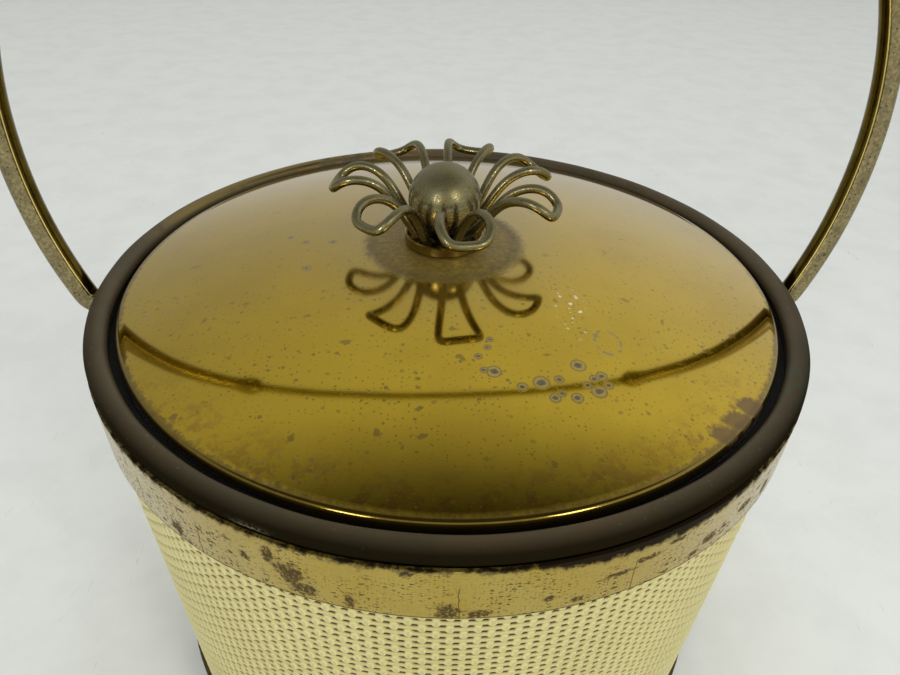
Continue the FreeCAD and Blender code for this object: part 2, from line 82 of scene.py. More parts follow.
# ------------------------------------------------------------------ weave
STRIP_COUNT = 214                 # upright strips round the wrap
STRIP_SHIFT = -0.46               # in strips: where the first strip stands from the front
STRAND_PITCH = 2.25 * MM
STRAND_LIFT = 1.15 * MM           # sets the first row of pads just under the band
PAD_HALF_WIDTH = 0.84 * MM        # a pad is a strip where it passes over a strand
PAD_HALF_HEIGHT = 1.50 * MM
PAD_RISE = 0.26 * MM              # heights are measured from the wrap's nominal face
STRIP_HALF_WIDTH = 0.62 * MM
STRIP_DIP = -0.28 * MM            # a strip where it passes under a strand
STRAND_RISE = -0.02 * MM          # a strand's crest; it slopes in below the crest
STRAND_FOOT = -0.24 * MM
CREST_END = 0.14                  # in strands, upwards from a crest: where its top edge turns in
SLIT_END = 0.48                   # and where the next strand's foot begins
BACKING_DEPTH = -0.50 * MM
WEAVE_SECTORS = 8
SAMPLES_PER_STRIP = 6
SAMPLES_PER_STRAND = 9

# ------------------------------------------------------------------ turned pieces
BEAD_SECTION_STEPS = 40
BEAD_RING_STEPS = 480
BEAD_WAVES = 7
BEAD_SEED = 4
LID_RING_STEPS = 360
LID_DOME_STEPS = 70               # from the hole in the middle to the corner
LID_INSIDE_STEPS = 24
LID_CORNER_STEPS = 8
LID_CORNER_RADIUS = 1.3 * MM
LID_HOLE_RADIUS = 2.2 * MM
LID_LIP_BEVEL = 0.15 * MM


# ------------------------------------------------------------------ mesh helpers

def make_object(name, mesh, body, material, replaced=()):
    """Puts a finished mesh into the scene as a piece that rides on a body."""
    mesh.materials.append(material)
    piece = bpy.data.objects.new(name, mesh)
    bpy.context.scene.collection.objects.link(piece)
    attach(piece, body)
    if replaced:
        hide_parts(*replaced)
    return piece


def grid_mesh(name, points, wrap_rows=False, wrap_columns=False, sharp_angle=35.0):
    """Mesh through a grid of points, rows x columns x 3, joined up at the ends where asked."""
    rows, columns = points.shape[:2]
    row_steps = rows if wrap_rows else rows - 1
    column_steps = columns if wrap_columns else columns - 1
    row = np.arange(row_steps)[:, None]
    column = np.arange(column_steps)[None, :]
    next_row = (row + 1) % rows
    next_column = (column + 1) % columns
    quads = np.stack([
        row * columns + column,
        row * columns + next_column,
        next_row * columns + next_column,
        next_row * columns + column,
    ], axis=-1).reshape(-1, 4)
    mesh = bpy.data.meshes.new(name)
    mesh.from_pydata(points.reshape(-1, 3).tolist(), [], quads.tolist())
    mesh.shade_smooth()
    mesh.set_sharp_from_angle(angle=math.radians(sharp_angle))
    mesh.update()
    return mesh


def turned(name, outline, steps, wobble=None, sharp_angle=35.0):
    """Closed outline of (radius, height) turned about the upright axis.

    wobble(angle) gives how far each point moves outwards.
    """
    profile = np.array(outline)
    angle = np.linspace(0, 2 * np.pi, steps, endpoint=False)
    radius = np.repeat(profile[:, :1], steps, axis=1)
    height = np.repeat(profile[:, 1:], steps, axis=1)
    angles = np.repeat(angle[None, :], len(profile), axis=0)
    if wobble is not None:
        radius = radius + wobble(angles)
    points = np.stack([radius * np.cos(angles), radius * np.sin(angles), height], axis=-1)
    return grid_mesh(name, points, wrap_rows=True, wrap_columns=True, sharp_angle=sharp_angle)


# ------------------------------------------------------------------ material helper

class Paint:
    """One material's nodes. Each method adds nodes and returns the socket that carries the result."""

    def __init__(self, name):
        self.material = bpy.data.materials.new(name)
        self.material.use_nodes = True
        self.tree = self.material.node_tree
        self.surface = self.tree.nodes["Principled BSDF"]
        coordinates = self.tree.nodes.new("ShaderNodeTexCoord")
        self.place = coordinates.outputs["Object"]
        self.facing = coordinates.outputs["Normal"]

    def feed(self, socket, value):
        if isinstance(value, bpy.types.NodeSocket):
            self.tree.links.new(value, socket)
        elif isinstance(value, (tuple, list)) and len(value) == 3 and socket.type == "RGBA":
            socket.default_value = (*value, 1.0)
        else:
            socket.default_value = value

    def set(self, **values):
        """Sets inputs of the surface shader; underscores stand for spaces."""
        for name, value in values.items():
            self.feed(self.surface.inputs[name.replace("_", " ")], value)

    def maths(self, operation, first, second=None, clamp=False):
        node = self.tree.nodes.new("ShaderNodeMath")
        node.operation = operation
        node.use_clamp = clamp
        self.feed(node.inputs[0], first)
        if second is not None:
            self.feed(node.inputs[1], second)
        return node.outputs[0]

    def vector(self, operation, first, second=None):
        node = self.tree.nodes.new("ShaderNodeVectorMath")
        node.operation = operation
        self.feed(node.inputs[0], first)
        if second is not None:
            self.feed(node.inputs[1], second)
        return node.outputs["Value" if operation in ("LENGTH", "DOT_PRODUCT", "DISTANCE") else "Vector"]

    def parts(self, vector):
        node = self.tree.nodes.new("ShaderNodeSeparateXYZ")
        self.feed(node.inputs[0], vector)
        return node.outputs[0], node.outputs[1], node.outputs[2]

    def joined(self, x, y, z):
        node = self.tree.nodes.new("ShaderNodeCombineXYZ")
        for socket, value in zip(node.inputs, (x, y, z)):
            self.feed(socket, value)
        return node.outputs[0]

    def step(self, value, low, high, smooth=True):
        """0 where value is at low, 1 where it is at high; low may be above high."""
        node = self.tree.nodes.new("ShaderNodeMapRange")
        node.interpolation_type = "SMOOTHSTEP" if smooth else "LINEAR"
        self.feed(node.inputs["Value"], value)
        self.feed(node.inputs["From Min"], low)
        self.feed(node.inputs["From Max"], high)
        return node.outputs["Result"]

    def span(self, value, low, high, out_low, out_high):
        """Maps low..high to out_low..out_high."""
        node = self.tree.nodes.new("ShaderNodeMapRange")
        self.feed(node.inputs["Value"], value)
        ends = {"From Min": low, "From Max": high, "To Min": out_low, "To Max": out_high}
        for name, number in ends.items():
            self.feed(node.inputs[name], number)
        return node.outputs["Result"]

    def noise(self, size, detail=3.0, roughness=0.55, place=None, distortion=0.0):
        """Cloudy noise, 0 to 1, with features about this size in metres."""
        node = self.tree.nodes.new("ShaderNodeTexNoise")
        self.feed(node.inputs["Vector"], self.place if place is None else place)
        node.inputs["Scale"].default_value = 1.0 / size
        node.inputs["Detail"].default_value = detail
        node.inputs["Roughness"].default_value = roughness
        node.inputs["Distortion"].default_value = distortion
        return node.outputs["Fac"]

    def stretched(self, x, y, z, place=None):
        return self.vector("MULTIPLY", self.place if place is None else place, (x, y, z))

    def specks(self, spacing, share, size, plane=None, softness=0.25, ragged=0.0):
        """Scattered spots, one possible in each cell of this spacing, in a share of the cells.

        Size is the largest spot's radius as a share of the spacing. In a flat plane the cells are
        flat too.
        """
        node = self.tree.nodes.new("ShaderNodeTexVoronoi")
        place = self.place if plane is None else plane
        if plane is not None:
            node.voronoi_dimensions = "2D"
        if ragged:
            shift = self.tree.nodes.new("ShaderNodeTexNoise")
            self.feed(shift.inputs["Vector"], place)
            shift.inputs["Scale"].default_value = 2.5 / spacing
            shift.inputs["Detail"].default_value = 4.0
            centred = self.vector("SUBTRACT", shift.outputs["Color"], (0.5, 0.5, 0.5))
            place = self.vector("ADD", place, self.vector("MULTIPLY", centred, (ragged * spacing,) * 3))
        self.feed(node.inputs["Vector"], place)
        node.inputs["Scale"].default_value = 1.0 / spacing
        colour = self.tree.nodes.new("ShaderNodeSeparateColor")
        self.feed(colour.inputs[0], node.outputs["Color"])
        reach = self.span(colour.outputs[0], 1.0 - share, 1.0, 0.25 * size, size)
        chosen = self.maths("GREATER_THAN", colour.outputs[0], 1.0 - share)
        room = self.maths("SUBTRACT", reach, node.outputs["Distance"])
        spot = self.step(room, 0.0, softness * size)
        return self.maths("MULTIPLY", spot, chosen)

    def mix(self, factor, first, second, mode="MIX"):
        node = self.tree.nodes.new("ShaderNodeMix")
        node.data_type = "RGBA"
        node.blend_type = mode
        self.feed(node.inputs["Factor"], factor)
        self.feed(node.inputs[6], first)
        self.feed(node.inputs[7], second)
        return node.outputs[2]

    def blend(self, factor, first, second):
        """Mix of two plain numbers."""
        return self.span(factor, 0.0, 1.0, first, second)

    def most(self, *masks):
        result = masks[0]
        for mask in masks[1:]:
            result = self.maths("MAXIMUM", result, mask)
        return result

    def times(self, *values):
        result = values[0]
        for value in values[1:]:
            result = self.maths("MULTIPLY", result, value)
        return result

    def bump(self, height, distance, strength=1.0, normal=None):
        node = self.tree.nodes.new("ShaderNodeBump")
        node.inputs["Strength"].default_value = strength
        node.inputs["Distance"].default_value = distance
        self.feed(node.inputs["Height"], height)
        if normal is not None:
            self.feed(node.inputs["Normal"], normal)
        return node.outputs["Normal"]

    def spot(self, plane, centre, size, edge_noise=None, softness=0.3):
        """1 inside an oval at centre with this half size, fading over its edge.

        The plane is a vector in metres.
        """
        offset = self.vector("SUBTRACT", plane, (*centre, 0.0))
        shape = self.vector("MULTIPLY", offset, (1.0 / size[0], 1.0 / size[1], 0.0))
        distance = self.vector("LENGTH", shape)
        if edge_noise is not None:
            distance = self.maths("ADD", distance, edge_noise)
        return self.step(distance, 1.0 + softness / 2, 1.0 - softness / 2)

    def hoop(self, plane, centre, radius, thickness):
        """A thin ring in the plane."""
        offset = self.vector("SUBTRACT", plane, (*centre, 0.0))
        distance = self.vector("LENGTH", self.vector("MULTIPLY", offset, (1.0, 1.0, 0.0)))
        away = self.maths("ABSOLUTE", self.maths("SUBTRACT", distance, radius))
        return self.step(away, thickness, thickness * 0.3)

    def unrolled(self, radius):
        """Distance round the bucket from the front, and height, as a flat plane in metres."""
        x, y, z = self.parts(self.place)
        turn = self.maths("ARCTAN2", x, self.maths("MULTIPLY", y, -1.0))
        return self.joined(self.maths("MULTIPLY", turn, radius), z, 0.0)


# ------------------------------------------------------------------ materials

LID_GOLD = (0.515, 0.350, 0.008)
LID_GOLD_DEEP = (0.46, 0.305, 0.006)
LID_SPECK = (0.17, 0.120, 0.006)
LID_EDGE_SHADE_AND_DIRT = (0.12, 0.080, 0.005)
RING_CORE = (0.030, 0.028, 0.030)
RING_HALO = (0.20, 0.18, 0.12)
RING_OUTLINE = (0.10, 0.08, 0.03)
TARNISH = (0.145, 0.108, 0.036)
TARNISH_EDGE = (0.090, 0.066, 0.022)
TARNISH_RADIUS = 20.5 * MM        # of the dull disc round the knob; it fades out further on
TARNISH_FADE = 4.0 * MM
HAZE_AND_REFLECTION = (0.20, 0.17, 0.12)
LID_COPPER = (0.30, 0.15, 0.012)
LID_PATCH_BROWN = (0.13, 0.080, 0.030)
LID_WHITE_MARK = (0.78, 0.73, 0.62)
WATER_MARK_CENTRE = (36.0 * MM, -34.8 * MM)
WATER_MARK_SQUASH = (1.0, 0.78, 1.0)

# Brown ovals along the lid's front right edge: place from its middle and half size, in millimetres.
LID_EDGE_OVALS = [(66.5, -61.5, 3.6, 2.6), (62.0, -66.0, 3.8, 2.6), (57.0, -70.3, 3.8, 2.4)]

# Spots left on the lid by drops: place from its middle and radius, in millimetres.
LID_RING_SPOTS = [
    (13.0, -60.0, 1.3), (17.5, -58.7, 2.1), (21.7, -57.6, 1.2), (27.0, -53.0, 2.0), (30.0, -57.0, 1.2),
    (32.0, -56.0, 1.4), (33.0, -58.7, 1.2), (30.4, -60.7, 2.0), (25.0, -62.8, 1.5), (20.0, -63.0, 1.4),
    (21.7, -61.7, 1.0), (28.0, -59.0, 1.1), (7.0, -55.5, 1.9), (4.8, -55.0, 1.0), (3.8, -50.7, 1.0),
    (6.2, -47.7, 0.9), (7.0, -45.0, 0.9), (-40.0, -12.0, 1.3), (-42.0, 3.0, 1.1), (-34.0, 1.6, 1.1),
    (-47.0, 7.0, 0.9),
]
LID_SPOT_SCALE = 0.88


def lid_specks(paint, plane, y):
    """Dark pinholes of every size, crowded towards the front and in loose clusters."""
    front = paint.step(y, 30 * MM, -70 * MM)
    cluster = paint.step(paint.noise(11 * MM, 4.0, 0.6), 0.38, 0.58)
    fine = paint.specks(1.5 * MM, 0.75, 0.24, plane, 0.4, 0.2)
    medium = paint.specks(3.4 * MM, 0.60, 0.19, plane, 0.3, 0.3)
    large = paint.specks(9.0 * MM, 0.30, 0.16, plane, 0.25, 0.5)
    crowd = paint.blend(front, 0.30, 1.0)
    many = paint.times(paint.most(fine, medium), crowd, paint.blend(cluster, 0.35, 1.0))
    return paint.most(many, paint.times(large, crowd))


def lid_drop_marks(paint, plane, ragged):
    """Cores, halos and outlines of the dried drops.

    Each drop is merged at once: a renderer's shader has room for few values that wait for later use.
    """
    marks = None
    for centre_x, centre_y, radius in LID_RING_SPOTS:
        centre = (centre_x * MM, centre_y * MM)
        half = LID_SPOT_SCALE * radius * MM
        core = paint.spot(plane, centre, (half * 0.55, half * 0.45), ragged, 0.6)
        halo = paint.spot(plane, centre, (half, half), paint.times(ragged, 0.4), 0.3)
        outline = paint.hoop(plane, centre, half, 0.30 * MM)
        drop = (core, halo, outline)
        marks = drop if marks is None else [paint.most(*pair) for pair in zip(marks, drop)]
    return marks


def lid_edge_patch(paint, plane, ragged):
    """Brown patch where the lacquer has gone from the edge."""
    ovals = []
    for centre_x, centre_y, half_width, half_depth in LID_EDGE_OVALS:
        centre = (centre_x * MM, centre_y * MM)
        ovals.append(paint.spot(plane, centre, (half_width * MM, half_depth * MM), ragged, 0.5))
    return paint.most(*ovals)


def lid_brass():
    paint = Paint("lid_brass")
    x, y, _ = paint.parts(paint.place)
    plane = paint.joined(x, y, 0.0)
    from_knob = paint.vector("LENGTH", paint.vector("SUBTRACT", plane, (KNOB_X, 0.0, 0.0)))
    from_axis = paint.vector("LENGTH", plane)
    wide = paint.noise(38 * MM, 4.0, 0.6)
    fine = paint.noise(1.6 * MM, 6.0, 0.7)
    ragged = paint.span(paint.noise(1.5 * MM, 5.0, 0.65), 0.0, 1.0, -0.8, 0.8)

    colour = paint.mix(paint.step(wide, 0.38, 0.66), LID_GOLD, LID_GOLD_DEEP)
    specks = lid_specks(paint, plane, y)
    cores, halos, outlines = lid_drop_marks(paint, plane, ragged)
    left_group = paint.times(
        paint.spot(plane, (-76.0 * MM, -23.0 * MM), (5.0 * MM, 9.0 * MM), ragged, 0.8),
        paint.specks(1.9 * MM, 0.6, 0.4, plane, 0.3, 0.3),
    )
    front_left_group = paint.times(
        paint.spot(plane, (-38.0 * MM, -80.0 * MM), (9.0 * MM, 4.0 * MM), ragged, 0.8),
        paint.specks(1.6 * MM, 0.7, 0.42, plane, 0.3, 0.5),
    )
    colour = paint.mix(paint.times(specks, 0.78), colour, LID_SPECK)
    colour = paint.mix(paint.times(paint.most(left_group, front_left_group), 0.6), colour, RING_HALO)
    colour = paint.mix(paint.times(halos, 0.34), colour, RING_HALO)
    colour = paint.mix(paint.times(outlines, 0.60), colour, RING_OUTLINE)
    colour = paint.mix(paint.times(cores, 0.80), colour, RING_CORE)
    squashed = paint.vector("MULTIPLY", plane, WATER_MARK_SQUASH)
    water_mark = paint.times(
        paint.hoop(squashed, WATER_MARK_CENTRE, 3.2 * MM, 0.5 * MM),
        paint.step(paint.noise(2.0 * MM), 0.42, 0.52),
    )
    colour = paint.mix(paint.times(water_mark, 0.6), colour, RING_HALO)

    front_right = paint.times(
        paint.step(from_axis, 76 * MM, 90 * MM),
        paint.step(y, -40 * MM, -62 * MM),
        paint.step(paint.noise(3.5 * MM, 5.0, 0.7), 0.46, 0.60),
    )
    colour = paint.mix(paint.times(front_right, 0.55), colour, LID_COPPER)
    # Painted dark reflection and shade with some grime: a ragged darker ring round the lid's edge.
    uneven_reach = paint.maths("ADD", from_axis, paint.times(ragged, 2.2 * MM))
    lid_rim_shade_and_dirt = paint.step(uneven_reach, LID_RADIUS - 2.4 * MM, LID_RADIUS - 1.2 * MM)
    colour = paint.mix(paint.times(lid_rim_shade_and_dirt, 0.75), colour, LID_EDGE_SHADE_AND_DIRT)
    edge_patch = lid_edge_patch(paint, plane, ragged)
    colour = paint.mix(paint.times(edge_patch, 0.85), colour, LID_PATCH_BROWN)

    rim_of_tarnish = paint.maths("ADD", from_knob, paint.times(ragged, 3.0 * MM))
    tarnish = paint.step(rim_of_tarnish, TARNISH_RADIUS + TARNISH_FADE, TARNISH_RADIUS)
    near_rim = paint.step(rim_of_tarnish, TARNISH_RADIUS - 2.5 * MM, TARNISH_RADIUS)
    tarnish_edge = paint.times(tarnish, near_rim)
    mottle = paint.span(fine, 0.35, 0.6, 0.45, 1.0)
    # A greyer haze round the knob, stronger behind it: partly a real dull film, partly a painted
    # reflection, paler and greyer towards the back.
    behind = paint.step(y, -15 * MM, 40 * MM)
    haze_and_reflection = paint.times(paint.step(from_knob, 48 * MM, 20 * MM), paint.blend(behind, 0.22, 0.5))
    colour = paint.mix(haze_and_reflection, colour, HAZE_AND_REFLECTION)
    colour = paint.mix(paint.times(tarnish, mottle, 0.9), colour, TARNISH)
    colour = paint.mix(paint.times(tarnish_edge, 0.4), colour, TARNISH_EDGE)

    white = paint.times(
        paint.spot(plane, (29.0 * MM, -33.0 * MM), (3.5 * MM, 9.5 * MM), None, 0.8),
        paint.specks(2.1 * MM, 0.5, 0.30, plane),
    )
    colour = paint.mix(paint.times(white, 0.85), colour, LID_WHITE_MARK)

    dull = paint.most(
        paint.times(specks, 0.2), cores, paint.times(halos, 0.45), edge_patch, tarnish, white,
        paint.times(outlines, 0.6), paint.times(left_group, 0.5), paint.times(lid_rim_shade_and_dirt, 0.12),
    )
    waves = paint.bump(paint.noise(45 * MM, 2.0, 0.5), 0.25 * MM, 0.4)
    pits = paint.bump(paint.maths("SUBTRACT", paint.times(fine, 0.12), dull), 0.03 * MM, 0.35, waves)
    paint.set(
        Base_Color=colour,
        Metallic=paint.blend(dull, 1.0, 0.45),
        Roughness=paint.maths("ADD", paint.blend(dull, 0.075, 0.42), paint.times(haze_and_reflection, 0.25)),
        Normal=pits,
        Coat_Weight=paint.blend(paint.most(tarnish, edge_patch), 1.0, 0.15),
        Coat_Roughness=paint.maths("ADD", 0.05, paint.times(haze_and_reflection, 0.3)),
        Coat_IOR=1.36,
    )
    return paint.material


BAND_GOLD = (0.47, 0.325, 0.030)
BAND_PALE = (0.50, 0.375, 0.070)
BAND_BROWN = (0.050, 0.030, 0.012)
BAND_SIDE_SHEEN = (0.50, 0.42, 0.24)
BAND_BRUSHED = (0.34, 0.230, 0.025)
BAND_RADIUS = 0.1                 # radius at which the bands are unrolled for painting
# Near black of the bands' darker edges: painted shade with some dirt.
SHADE_AND_DIRT = (0.014, 0.009, 0.003)

# Blotches on the top band: degrees round from the front, share of its height, half size in millimetres.
BAND_BLOTCHES = [
    (-21.0, 0.45, 3.4, 3.2), (-19.5, 0.20, 3.0, 2.0), (-23.5, 0.72, 1.4, 2.4), (-3.0, 0.16, 2.4, 2.4),
    (0.6, 0.10, 2.4, 1.2), (8.5, 0.28, 1.2, 0.9), (17.0, 0.46, 3.2, 0.8), (20.5, 0.60, 3.4, 0.8),
    (24.5, 0.72, 2.4, 0.8), (31.0, 0.30, 2.2, 1.6), (28.5, 0.14, 1.8, 1.0), (-14.0, 0.18, 1.0, 2.2),
    (-27.0, 0.48, 1.2, 1.2), (12.0, 0.14, 1.4, 0.8), (-7.5, 0.90, 1.2, 0.9), (-38.0, 0.20, 2.0, 2.0),
    (38.0, 0.42, 2.6, 1.4), (44.0, 0.30, 2.0, 2.4),
]
BAND_CRACKS = [-1.7, -34.0, -45.7, 19.0]      # degrees round from the front
BASE_BLOTCHES = [(-60, 0.4, 3, 2), (100, 0.6, 2.5, 2)]
BASE_CRACKS = [58.0]


def band_flecks(paint, flat, crowd):
    """Tiny brown flecks, longer round the band than up it."""
    tiny = paint.specks(0.85 * MM, 0.50, 0.42, flat, 0.4, 0.7)
    small = paint.specks(1.7 * MM, 0.50, 0.38, flat, 0.3, 0.8)
    medium = paint.specks(4.2 * MM, 0.45, 0.28, flat, 0.25, 0.9)
    return paint.most(
        paint.times(tiny, paint.blend(crowd, 0.35, 1.0)),
        paint.times(small, paint.blend(crowd, 0.20, 1.0)),
        paint.times(medium, paint.blend(crowd, 0.10, 1.0)),
    )


def band_blotches(paint, plane, blotches, low, high, ragged):
    """Larger brown blotches, each broken up by its own ragged edge."""
    marks = []
    for degrees, share, half_width, half_height in blotches:
        centre = (math.radians(degrees) * BAND_RADIUS, low + share * (high - low))
        marks.append(paint.spot(plane, centre, (half_width * MM, half_height * MM), ragged, 0.5))
    speckle = paint.step(paint.noise(0.9 * MM, 4.0, 0.7), 0.38, 0.50)
    return paint.times(paint.most(*marks), paint.blend(speckle, 0.45, 1.0))


def band_cracks(paint, along, height, cracks, low, high):
    """Fine upright splits in the lacquer."""
    reach = paint.step(height, low + 0.80 * (high - low), low + 0.55 * (high - low))
    lean = paint.times(paint.span(paint.noise(4 * MM), 0, 1, -1, 1), 0.8 * MM)
    lines = []
    for degrees in cracks:
        beside = paint.maths("SUBTRACT", along, math.radians(degrees) * BAND_RADIUS)
        away = paint.maths("ABSOLUTE", paint.maths("ADD", beside, lean))
        lines.append(paint.times(paint.step(away, 0.20 * MM, 0.07 * MM), reach))
    return paint.most(*lines)


def band_brass(name, low, high, blotches, cracks, darker_at_top):
    paint = Paint(name)
    plane = paint.unrolled(BAND_RADIUS)
    along, height, _ = paint.parts(plane)
    flat = paint.stretched(1.0, 2.1, 1.0, plane)
    ragged = paint.span(paint.noise(1.3 * MM, 5.0, 0.75), 0.0, 1.0, -1.5, 1.5)
    wide = paint.noise(26 * MM, 4.0, 0.6)
    brushed = paint.noise(1.2 * MM, 3.0, 0.6, paint.stretched(0.15, 1.0, 1.0, plane))
    # Painted sheen: the band is paler on its sides, away from the front.
    side = paint.step(paint.maths("ABSOLUTE", along), 35 * MM, 85 * MM)
    colour = paint.mix(paint.step(wide, 0.40, 0.62), BAND_GOLD, BAND_PALE)
    colour = paint.mix(paint.times(side, 0.6), colour, BAND_SIDE_SHEEN)
    colour = paint.mix(paint.times(brushed, 0.30), colour, BAND_BRUSHED)

    lower = paint.step(height, high, low)
    clusters = paint.maths("ADD", paint.noise(9 * MM, 3.0), paint.times(lower, 0.12))
    crowd = paint.step(clusters, 0.44, 0.62)
    flecks = band_flecks(paint, flat, crowd)
    blots = band_blotches(paint, plane, blotches, low, high, ragged)
    lines = band_cracks(paint, along, height, cracks, low, high)
    stains = paint.most(paint.times(blots, 0.92), paint.times(flecks, 0.85), paint.times(lines, 0.8))
    colour = paint.mix(stains, colour, BAND_BROWN)

    # Painted shade with some dirt. The top band has a ragged dark strip just under the bead, wider at
    # the front right. The base band has one along its foot by the floor. Both have a thin painted shade
    # line along the edge where the band meets the weave.
    uneven = paint.times(paint.span(paint.noise(3.0 * MM, 5.0, 0.75), 0, 1, -1, 1), 3.6 * MM)
    depth = paint.maths("ADD", height, uneven)
    if darker_at_top:
        front_right = paint.times(
            paint.step(along, 4 * MM, 26 * MM),
            paint.step(along, 78 * MM, 46 * MM),
        )
        reach = paint.blend(front_right, 0.6 * MM, 2.6 * MM)
        ragged_shade_and_dirt = paint.step(paint.maths("ADD", depth, reach), high - 1.2 * MM, high + 1.2 * MM)
        edge = paint.step(height, low + 0.45 * MM, low + 0.15 * MM)
    else:
        ragged_shade_and_dirt = paint.step(depth, low + 3.0 * MM, low + 0.2 * MM)
        edge = paint.step(height, high - 0.45 * MM, high - 0.15 * MM)
    edge_shade_and_dirt = paint.most(ragged_shade_and_dirt, paint.times(edge, 0.85))
    colour = paint.mix(edge_shade_and_dirt, colour, SHADE_AND_DIRT)
    dull = paint.most(stains, edge_shade_and_dirt)
    lengthways = paint.stretched(0.25, 1.8, 1.0, plane)
    scratches = paint.step(paint.noise(0.9 * MM, 2.0, 0.5, lengthways, 1.5), 0.66, 0.72)
    grain = paint.times(paint.maths("ADD", brushed, scratches), 0.3)
    relief = paint.maths("SUBTRACT", grain, paint.most(lines, paint.times(stains, 0.6)))
    ripples = paint.bump(paint.noise(14 * MM, 2.0, 0.5), 0.35 * MM, 0.5)
    paint.set(
        Base_Color=colour,
        Metallic=paint.blend(dull, 1.0, 0.05),
        Roughness=paint.blend(dull, 0.27, 0.75),
        Normal=paint.bump(relief, 0.05 * MM, 0.6, ripples),
        Specular_IOR_Level=paint.blend(dull, 0.5, 0.05),
        Coat_Weight=paint.blend(dull, 0.30, 0.0),
        Coat_Roughness=0.2,
    )
    return paint.material


BEAD_BROWN = (0.080, 0.058, 0.028)
BEAD_OLIVE = (0.062, 0.050, 0.025)
# Near black of the painted shade on the bead's outer, lower side.
BEAD_PAINTED_SHADE = (0.005, 0.0035, 0.001)
BEAD_BRONZE = (0.095, 0.075, 0.045)
BEAD_PALE_PIT = (0.17, 0.145, 0.10)
BEAD_GREEN = (0.035, 0.085, 0.05)
BEAD_RUBBED = (0.34, 0.25, 0.08)
BEAD_SCUFF = (0.34, 0.30, 0.19)


def bead_bronze():
    paint = Paint("bead_bronze")
    x, y, z = paint.parts(paint.place)
    plane = paint.joined(x, y, 0.0)
    wide = paint.noise(22 * MM, 5.0, 0.65)
    fine = paint.noise(0.9 * MM, 6.0, 0.75)
    colour = paint.mix(paint.step(wide, 0.35, 0.65), BEAD_BROWN, BEAD_OLIVE)
    colour = paint.mix(paint.times(paint.step(fine, 0.48, 0.75), 0.45), colour, BEAD_BRONZE)
    pale = paint.times(paint.specks(1.3 * MM, 0.25, 0.26), 0.5)
    colour = paint.mix(pale, colour, BEAD_PALE_PIT)
    green_edge = paint.span(wide, 0, 1, -0.6, 0.6)
    green = paint.times(
        paint.spot(plane, (82 * MM, -52 * MM), (9 * MM, 8 * MM), green_edge, 0.8),
        paint.step(paint.noise(3 * MM, 5.0, 0.7), 0.48, 0.60),
    )
    colour = paint.mix(paint.times(green, 0.6), colour, BEAD_GREEN)
    out = paint.vector("LENGTH", plane)
    back_left = paint.times(paint.step(y, 15 * MM, 45 * MM), paint.step(x, 10 * MM, -25 * MM))
    crest = paint.times(paint.step(out, 98.2 * MM, 97.2 * MM), paint.step(out, 94.4 * MM, 95.6 * MM))
    broken = paint.step(paint.noise(14 * MM, 4.0), 0.34, 0.5)
    rubbed = paint.times(crest, back_left, broken)
    colour = paint.mix(paint.times(rubbed, 0.6), colour, BEAD_RUBBED)
    low_side = paint.step(z, RIM_HEIGHT + 1.2 * MM, RIM_HEIGHT - 0.6 * MM)
    scuff_edge = paint.span(fine, 0, 1, -1.2, 1.2)
    scuffs = paint.times(
        paint.spot(plane, (-38 * MM, -89 * MM), (9 * MM, 3.2 * MM), scuff_edge, 0.6),
        low_side,
        paint.step(fine, 0.46, 0.56),
    )
    colour = paint.mix(paint.times(scuffs, 0.7), colour, BEAD_SCUFF)
    # Painted shade: the bead's outer, lower side is darkened, most at the front, and loses its shine
    # there.
    outer_side_shade = paint.step(out, 95.6 * MM, 99.6 * MM, smooth=False)
    shade = paint.times(outer_side_shade, paint.blend(paint.step(y, 25 * MM, -75 * MM), 0.35, 1.0))
    colour = paint.mix(paint.times(shade, 0.9, paint.blend(scuffs, 1.0, 0.2)), colour, BEAD_PAINTED_SHADE)
    relief = paint.maths("ADD", fine, paint.times(paint.noise(5 * MM, 4.0), 2.0))
    paint.set(
        Base_Color=colour,
        Metallic=paint.times(paint.blend(rubbed, 0.15, 0.95), paint.blend(shade, 1.0, 0.0)),
        Roughness=paint.blend(paint.most(rubbed, scuffs), paint.blend(shade, 0.46, 0.80), 0.3),
        Normal=paint.bump(relief, 0.05 * MM, 0.5),
        Specular_IOR_Level=paint.blend(shade, 0.25, 0.0),
    )
    return paint.material


WRAP_GOLD = (0.74, 0.655, 0.270)
WRAP_GOLD_DEEP = (0.68, 0.595, 0.235)
WRAP_GRAIN = (0.54, 0.45, 0.16)
WRAP_CROWN = (0.50, 0.46, 0.20)
WRAP_EDGE_HIGHLIGHT = (0.88, 0.82, 0.46)
WRAP_HALF_DEEP_SHADE = (0.33, 0.26, 0.080)
WRAP_RECESS_SHADE = (0.028, 0.019, 0.004)


